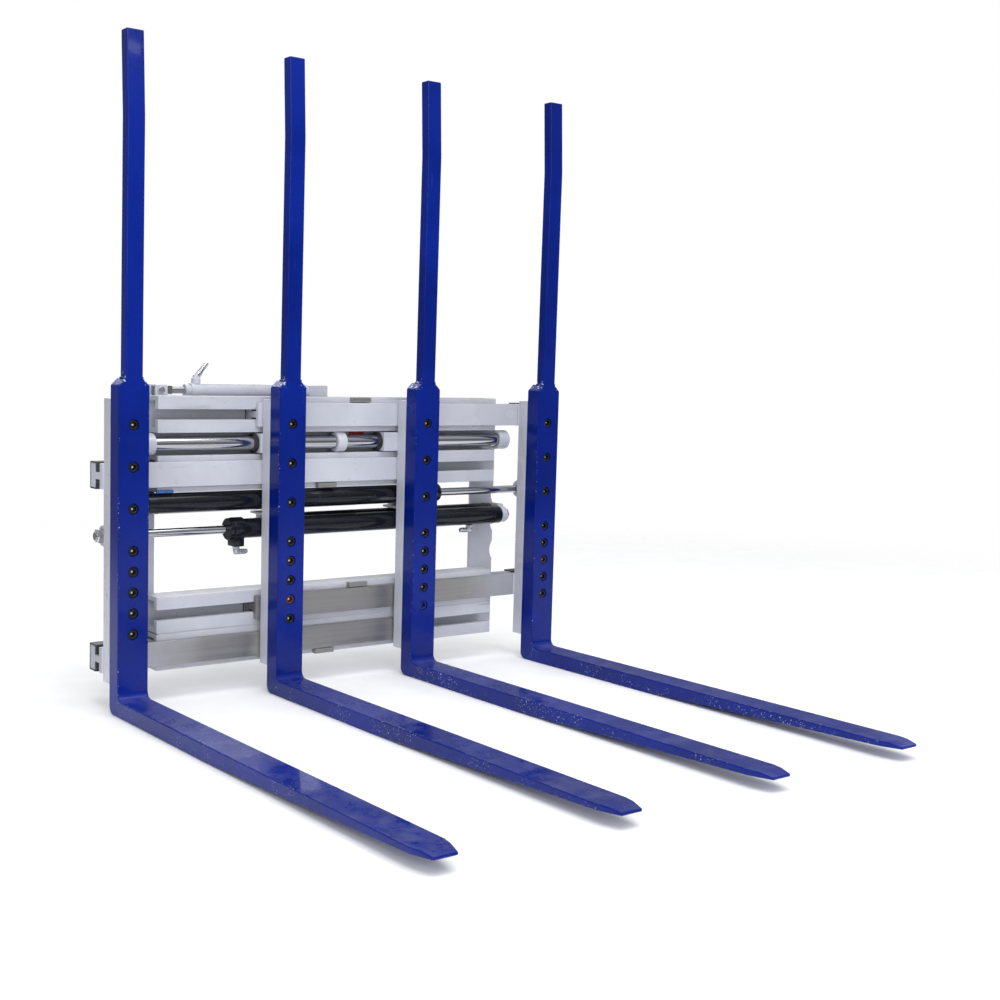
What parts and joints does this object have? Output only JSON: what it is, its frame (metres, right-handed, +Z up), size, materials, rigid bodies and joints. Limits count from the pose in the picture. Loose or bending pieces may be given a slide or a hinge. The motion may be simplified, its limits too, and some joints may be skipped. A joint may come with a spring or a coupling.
{
  "type": "pallet fork attachment",
  "caption": "Side-shifting single-double pallet handler with sliding bolted forks, tall backrest bars, T-slot rails, guide shaft and hydraulic cylinders.",
  "frame": {"origin": "on the floor under the middle of the part's box, with the blades' undersides at z = 0", "axes": "+X to the right seen from the load side, blades point to -Y and the truck is at +Y, +Z up"},
  "size_m": [1.42, 1.503, 1.64],
  "materials": {
    "blue_paint": "deep gloss cobalt blue paint, chipped at the edges",
    "white_paint": "gloss white paint with weld and handling marks",
    "bare_steel": "bare milled steel, slightly grey-brown",
    "chrome_rod": "ground hard chrome",
    "black_bolt": "black oxide socket-head screws",
    "black_paint": "gloss black paint",
    "slide_plastic": "dark grey slide plastic",
    "bronze": "sintered bronze",
    "seal_rubber": "black wiper rubber",
    "zinc_plate": "zinc plated steel"
  },
  "bodies": {
    "frame": {"top_rail": "white_paint", "upper_rail": "white_paint", "lower_rail": "white_paint", "bottom_rail": "white_paint", "upper_web_plate": "white_paint", "side_plates": "white_paint", "upper_hooks": "white_paint", "hook_wear_pads": "slide_plastic", "lower_hooks": "white_paint", "lower_hook_bolts": "zinc_plate", "guide_shaft": "chrome_rod", "shaft_bosses": "white_paint", "stop_collar": "white_paint", "keeper_blocks": "bare_steel", "cylinder_anchors": "white_paint", "anchor_nuts": "zinc_plate", "upper_outer_barrel": "black_paint", "lower_outer_barrel": "black_paint", "outer_glands": "black_paint", "inner_barrels": "black_paint", "port_fittings": "zinc_plate", "shift_bracket": "white_paint", "shift_pin": "zinc_plate", "shift_rod": "chrome_rod"},
    "shift_cylinder": {"shift_barrel": "white_paint", "shift_fitting": "zinc_plate", "carriage_lug": "white_paint"},
    "left_outer": {"left_outer_fork": "blue_paint", "left_outer_bar": "blue_paint", "left_outer_carrier": "white_paint", "left_outer_bolts": "black_bolt", "left_outer_upper_beam": "white_paint", "left_outer_lower_beam": "bare_steel", "left_outer_slide_pads": "slide_plastic", "left_outer_rod": "chrome_rod"},
    "right_outer": {"right_outer_fork": "blue_paint", "right_outer_bar": "blue_paint", "right_outer_carrier": "white_paint", "right_outer_bolts": "black_bolt", "right_outer_upper_beam": "white_paint", "right_outer_lower_beam": "bare_steel", "right_outer_slide_pads": "slide_plastic", "right_outer_rod": "chrome_rod"},
    "left_inner": {"left_inner_fork": "blue_paint", "left_inner_bar": "blue_paint", "left_inner_carrier": "white_paint", "left_inner_bolts": "black_bolt", "left_inner_housing": "white_paint", "left_inner_bushes": "bronze", "left_inner_wiper_rings": "seal_rubber", "left_inner_rod": "chrome_rod"},
    "right_inner": {"right_inner_fork": "blue_paint", "right_inner_bar": "blue_paint", "right_inner_carrier": "white_paint", "right_inner_bolts": "black_bolt", "right_inner_housing": "white_paint", "right_inner_bushes": "bronze", "right_inner_wiper_rings": "seal_rubber", "right_inner_rod": "chrome_rod"}
  },
  "joints": [
    {"name": "left_outer_slide", "type": "slide", "parent": "frame", "child": "left_outer", "axis": [1, 0, 0], "range_m": [0, 0.3]},
    {"name": "right_outer_slide", "type": "slide", "parent": "frame", "child": "right_outer", "axis": [-1, 0, 0], "range_m": [0, 0.3]},
    {"name": "left_inner_slide", "type": "slide", "parent": "frame", "child": "left_inner", "axis": [1, 0, 0], "range_m": [0, 0.06]},
    {"name": "right_inner_slide", "type": "slide", "parent": "frame", "child": "right_inner", "axis": [-1, 0, 0], "range_m": [0, 0.06]},
    {"name": "side_shift", "type": "slide", "parent": "frame", "child": "shift_cylinder", "axis": [1, 0, 0], "range_m": [-0.03, 0.12]}
  ],
  "couplings": [
    {"joint": "right_outer_slide", "follows": "left_outer_slide", "ratio": 1},
    {"joint": "left_inner_slide", "follows": "left_outer_slide", "ratio": 0.2},
    {"joint": "right_inner_slide", "follows": "left_outer_slide", "ratio": 0.2}
  ]
}
